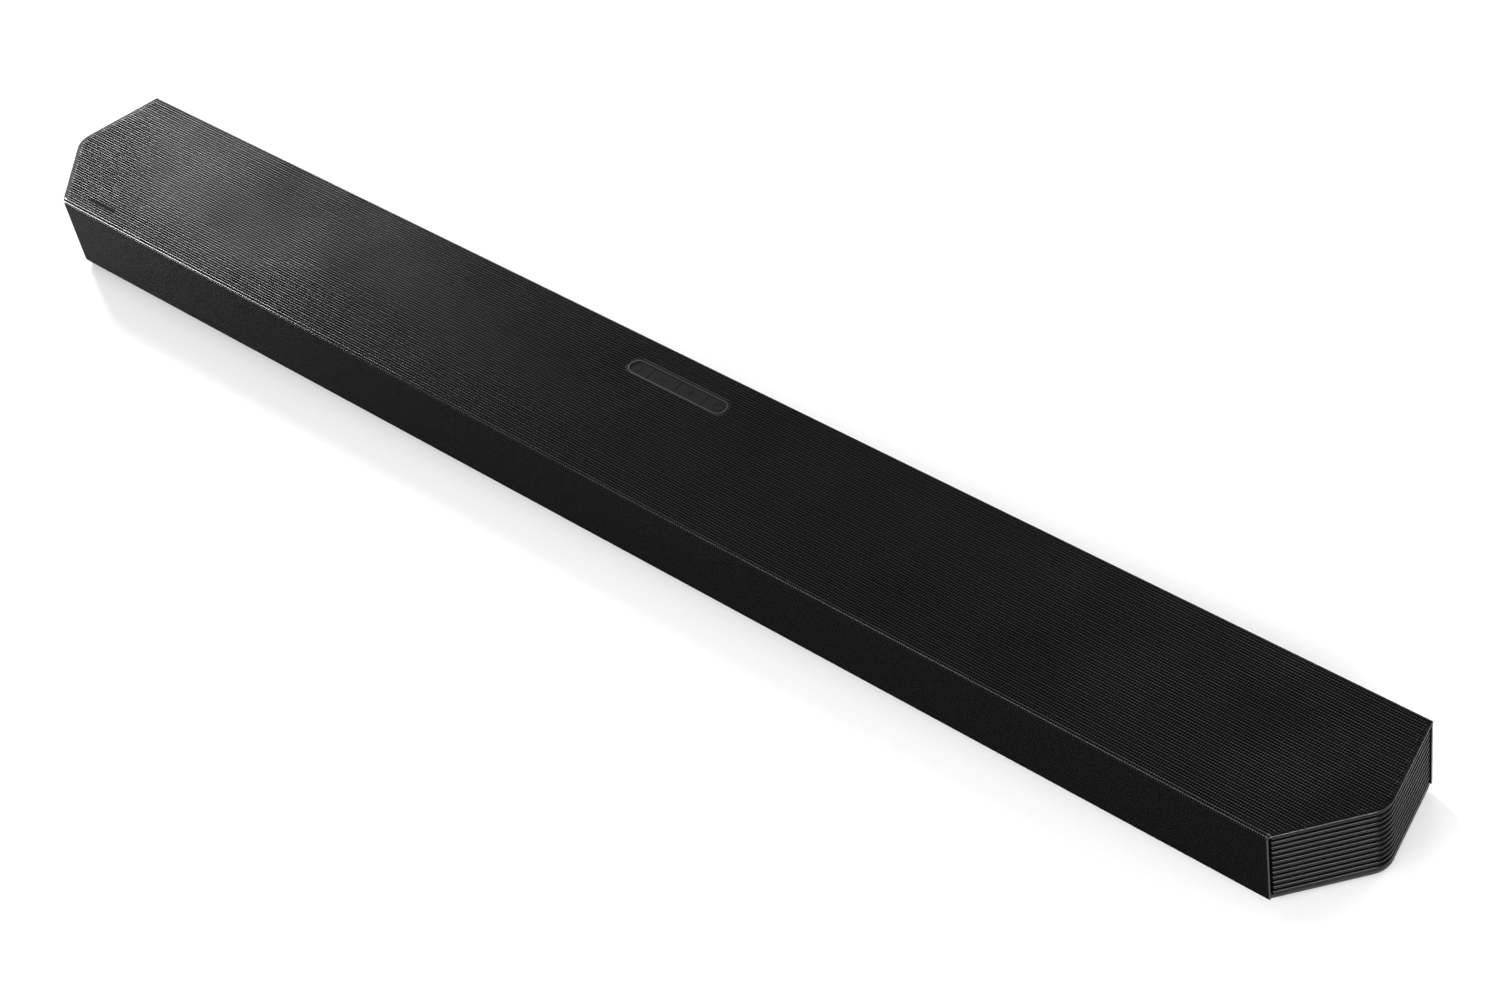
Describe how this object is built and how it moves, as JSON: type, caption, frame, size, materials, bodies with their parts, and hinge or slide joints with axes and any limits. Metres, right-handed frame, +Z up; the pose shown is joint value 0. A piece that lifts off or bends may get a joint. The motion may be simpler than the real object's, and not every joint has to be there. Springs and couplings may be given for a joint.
{
  "type": "soundbar",
  "caption": "Long low speaker bar with a perforated wrap-round shell, ribbed angled ends, a recessed key strip and rear socket bays.",
  "frame": {"origin": "on the surface that the feet stand on, under the middle of the overall box", "axes": "+X along the bar to the listener's right, +Y from the front to the back, +Z up"},
  "size_m": [1.1106, 0.12, 0.0604],
  "materials": {
    "shell_steel": "satin black powder coat",
    "acoustic_cloth": "fine black weave",
    "badge_metal": "dark brushed",
    "inner_plastic": "matt moulded",
    "case_plastic": "fine spark texture",
    "rear_plastic": "fine spark texture",
    "foot_rubber": "matt",
    "rib_plastic": "semi-gloss black",
    "bezel_plastic": "satin black",
    "key_plastic": "soft-touch charcoal",
    "circuit_board": "green solder mask",
    "switch_metal": "tinned",
    "ribbon_film": "white polyester film",
    "magnet_steel": "zinc plated",
    "dome_fabric": "doped silk",
    "port_plastic": "matt moulded",
    "sink_aluminium": "extruded",
    "can_metal": "tinned can",
    "socket_plastic": "moulded black",
    "plate_steel": "black",
    "socket_metal": "nickel plated",
    "wire_sleeve": "braided sleeve",
    "insert_brass": "turned",
    "screw_steel": "black zinc",
    "basket_steel": "black",
    "cone_paper": "pressed pulp",
    "surround_rubber": "butyl"
  },
  "bodies": {
    "case": {"badge_plate": "badge_metal", "board_screws": "screw_steel", "bottom_case": "case_plastic", "button_board": "circuit_board", "case_screws": "screw_steel", "connector_plate": "plate_steel", "control_bezel": "bezel_plastic", "driver_screws": "screw_steel", "end_grille_left": "rib_plastic", "end_grille_right": "rib_plastic", "front_baffle": "inner_plastic", "grille_cloth": "acoustic_cloth", "grille_shell": "shell_steel", "heatsink": "sink_aluminium", "main_board": "circuit_board", "optical_socket": "socket_plastic", "port_tubes": "port_plastic", "power_inlet": "socket_plastic", "power_supply_board": "circuit_board", "rear_cover": "rear_plastic", "ribbon_cable": "ribbon_film", "rubber_feet": "foot_rubber", "side_driver_frame_left": "basket_steel", "side_driver_frame_right": "basket_steel", "side_driver_magnets": "magnet_steel", "speaker_wire_harness": "wire_sleeve", "tactile_switches": "switch_metal", "top_frame": "inner_plastic", "tweeter_domes": "dome_fabric", "tweeter_faceplates": "inner_plastic", "tweeter_magnets": "magnet_steel", "upfiring_basket_left": "basket_steel", "upfiring_basket_right": "basket_steel", "upfiring_magnet_left": "magnet_steel", "upfiring_magnet_right": "magnet_steel", "upfiring_surround_left": "surround_rubber", "upfiring_surround_right": "surround_rubber", "video_sockets": "socket_metal", "wall_mount_inserts": "insert_brass", "wireless_module": "can_metal", "woofer_basket_centre": "basket_steel", "woofer_basket_left": "basket_steel", "woofer_basket_right": "basket_steel", "woofer_magnet_centre": "magnet_steel", "woofer_magnet_left": "magnet_steel", "woofer_magnet_right": "magnet_steel", "woofer_surround_centre": "surround_rubber", "woofer_surround_left": "surround_rubber", "woofer_surround_right": "surround_rubber"},
    "button_source": {"button_source": "key_plastic"},
    "button_volume_down": {"button_volume_down": "key_plastic"},
    "button_volume_up": {"button_volume_up": "key_plastic"},
    "button_standby": {"button_standby": "key_plastic"},
    "woofer_cone_left": {"woofer_cone_left": "cone_paper"},
    "woofer_cone_centre": {"woofer_cone_centre": "cone_paper"},
    "woofer_cone_right": {"woofer_cone_right": "cone_paper"},
    "upfiring_cone_left": {"upfiring_cone_left": "cone_paper"},
    "upfiring_cone_right": {"upfiring_cone_right": "cone_paper"},
    "side_driver_cone_left": {"side_driver_cone_left": "cone_paper"},
    "side_driver_cone_right": {"side_driver_cone_right": "cone_paper"}
  },
  "joints": [
    {"name": "button_source_press", "type": "slide", "parent": "case", "child": "button_source", "axis": [0, 0, -1], "range_m": [0, 0.0004], "stiffness_N_per_m": 600},
    {"name": "button_volume_down_press", "type": "slide", "parent": "case", "child": "button_volume_down", "axis": [0, 0, -1], "range_m": [0, 0.0004], "stiffness_N_per_m": 600},
    {"name": "button_volume_up_press", "type": "slide", "parent": "case", "child": "button_volume_up", "axis": [0, 0, -1], "range_m": [0, 0.0004], "stiffness_N_per_m": 600},
    {"name": "button_standby_press", "type": "slide", "parent": "case", "child": "button_standby", "axis": [0, 0, -1], "range_m": [0, 0.0004], "stiffness_N_per_m": 600},
    {"name": "woofer_cone_left_travel", "type": "slide", "parent": "case", "child": "woofer_cone_left", "axis": [0, -1, 0], "range_m": [-0.002, 0.002], "stiffness_N_per_m": 1200, "deforming": ["woofer_surround_left"]},
    {"name": "woofer_cone_centre_travel", "type": "slide", "parent": "case", "child": "woofer_cone_centre", "axis": [0, -1, 0], "range_m": [-0.002, 0.002], "stiffness_N_per_m": 1200, "deforming": ["woofer_surround_centre"]},
    {"name": "woofer_cone_right_travel", "type": "slide", "parent": "case", "child": "woofer_cone_right", "axis": [0, -1, 0], "range_m": [-0.002, 0.002], "stiffness_N_per_m": 1200, "deforming": ["woofer_surround_right"]},
    {"name": "upfiring_cone_left_travel", "type": "slide", "parent": "case", "child": "upfiring_cone_left", "axis": [0, 0, 1], "range_m": [-0.002, 0.002], "stiffness_N_per_m": 1200, "deforming": ["upfiring_surround_left"]},
    {"name": "upfiring_cone_right_travel", "type": "slide", "parent": "case", "child": "upfiring_cone_right", "axis": [0, 0, 1], "range_m": [-0.002, 0.002], "stiffness_N_per_m": 1200, "deforming": ["upfiring_surround_right"]},
    {"name": "side_driver_cone_left_travel", "type": "slide", "parent": "case", "child": "side_driver_cone_left", "axis": [-0.7751, -0.6318, 0], "range_m": [-0.001, 0.001], "stiffness_N_per_m": 1500},
    {"name": "side_driver_cone_right_travel", "type": "slide", "parent": "case", "child": "side_driver_cone_right", "axis": [0.7751, -0.6318, 0], "range_m": [-0.001, 0.001], "stiffness_N_per_m": 1500}
  ]
}
